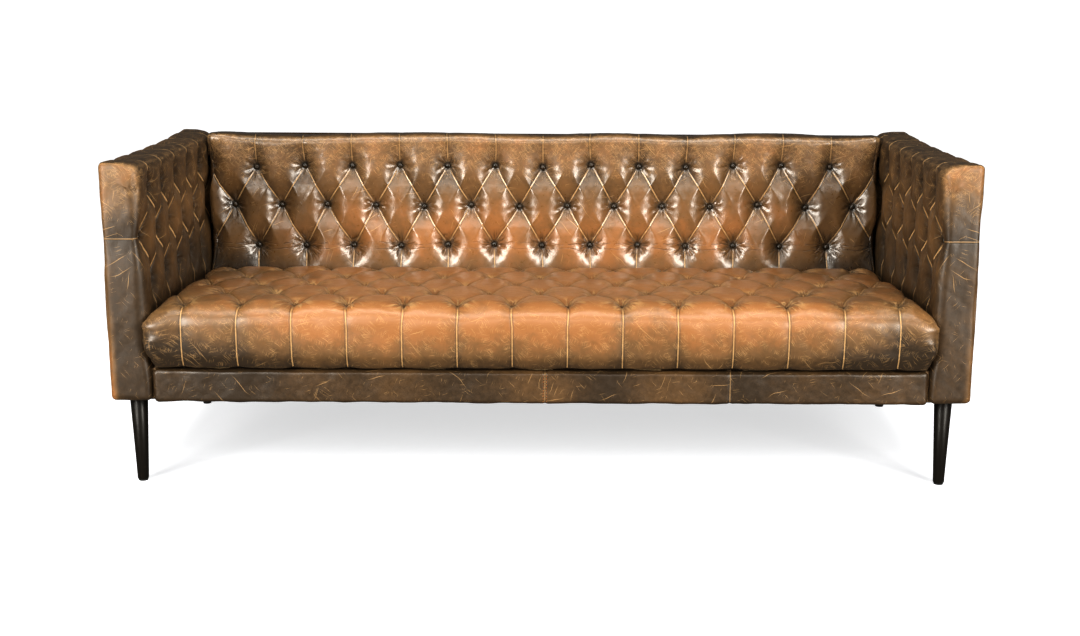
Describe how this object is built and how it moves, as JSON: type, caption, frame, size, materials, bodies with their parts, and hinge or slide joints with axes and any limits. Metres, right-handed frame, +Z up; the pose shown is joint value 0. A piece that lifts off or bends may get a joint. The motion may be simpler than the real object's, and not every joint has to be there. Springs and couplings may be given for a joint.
{
  "type": "worn leather sofa",
  "caption": "Worn brown leather tuxedo sofa, with arms and back of one height, diamond tufting, a blind-tufted seat and slim tapered legs.",
  "frame": {"origin": "on the floor, under the middle of the sofa", "axes": "+X to the right as seen from the front, +Y towards the back, +Z up"},
  "size_m": [2, 0.825, 0.77],
  "materials": {
    "body_leather": "dark brown pull-up leather, crackled and rubbed to tan on edges and crowns, half gloss",
    "seat_leather": "orange-brown pull-up leather, rubbed lighter in the middle of the seat, half gloss",
    "hardwood": "planed, unfinished",
    "ebonised_wood": "black stain under satin lacquer",
    "steel": "zinc plated",
    "nylon": "matt black",
    "jute_webbing": "coarse woven jute",
    "foam": "open-cell upholstery foam",
    "cambric": "thin black dust cloth"
  },
  "bodies": {
    "root": {"back_centre_post": "hardwood", "back_foam": "foam", "back_strap_1": "jute_webbing", "back_strap_2": "jute_webbing", "back_strap_3": "jute_webbing", "back_strap_4": "jute_webbing", "back_strap_5": "jute_webbing", "back_tack_rail": "hardwood", "back_top_rail": "hardwood", "centre_seat_brace": "hardwood", "cross_strap_1": "jute_webbing", "cross_strap_2": "jute_webbing", "dust_cover": "cambric", "front_border_cover": "body_leather", "front_seat_rail": "hardwood", "inside_back_cover": "body_leather", "left_arm_foam": "foam", "left_arm_tack_rail": "hardwood", "left_arm_top_rail": "hardwood", "left_front_glide": "nylon", "left_front_leg": "ebonised_wood", "left_front_leg_block": "hardwood", "left_front_leg_bolt": "steel", "left_front_post": "hardwood", "left_inside_arm_cover": "body_leather", "left_outside_arm_cover": "body_leather", "left_rear_glide": "nylon", "left_rear_leg": "ebonised_wood", "left_rear_leg_block": "hardwood", "left_rear_leg_bolt": "steel", "left_rear_post": "hardwood", "left_side_rail": "hardwood", "outside_back_cover": "body_leather", "rear_seat_rail": "hardwood", "right_arm_foam": "foam", "right_arm_tack_rail": "hardwood", "right_arm_top_rail": "hardwood", "right_front_glide": "nylon", "right_front_leg": "ebonised_wood", "right_front_leg_block": "hardwood", "right_front_leg_bolt": "steel", "right_front_post": "hardwood", "right_inside_arm_cover": "body_leather", "right_outside_arm_cover": "body_leather", "right_rear_glide": "nylon", "right_rear_leg": "ebonised_wood", "right_rear_leg_block": "hardwood", "right_rear_leg_bolt": "steel", "right_rear_post": "hardwood", "right_side_rail": "hardwood", "seat_cover": "seat_leather", "seat_foam": "foam", "seat_strap_1": "jute_webbing", "seat_strap_2": "jute_webbing", "seat_strap_3": "jute_webbing", "seat_strap_4": "jute_webbing", "seat_strap_5": "jute_webbing", "seat_strap_6": "jute_webbing", "seat_strap_7": "jute_webbing"}
  },
  "joints": []
}
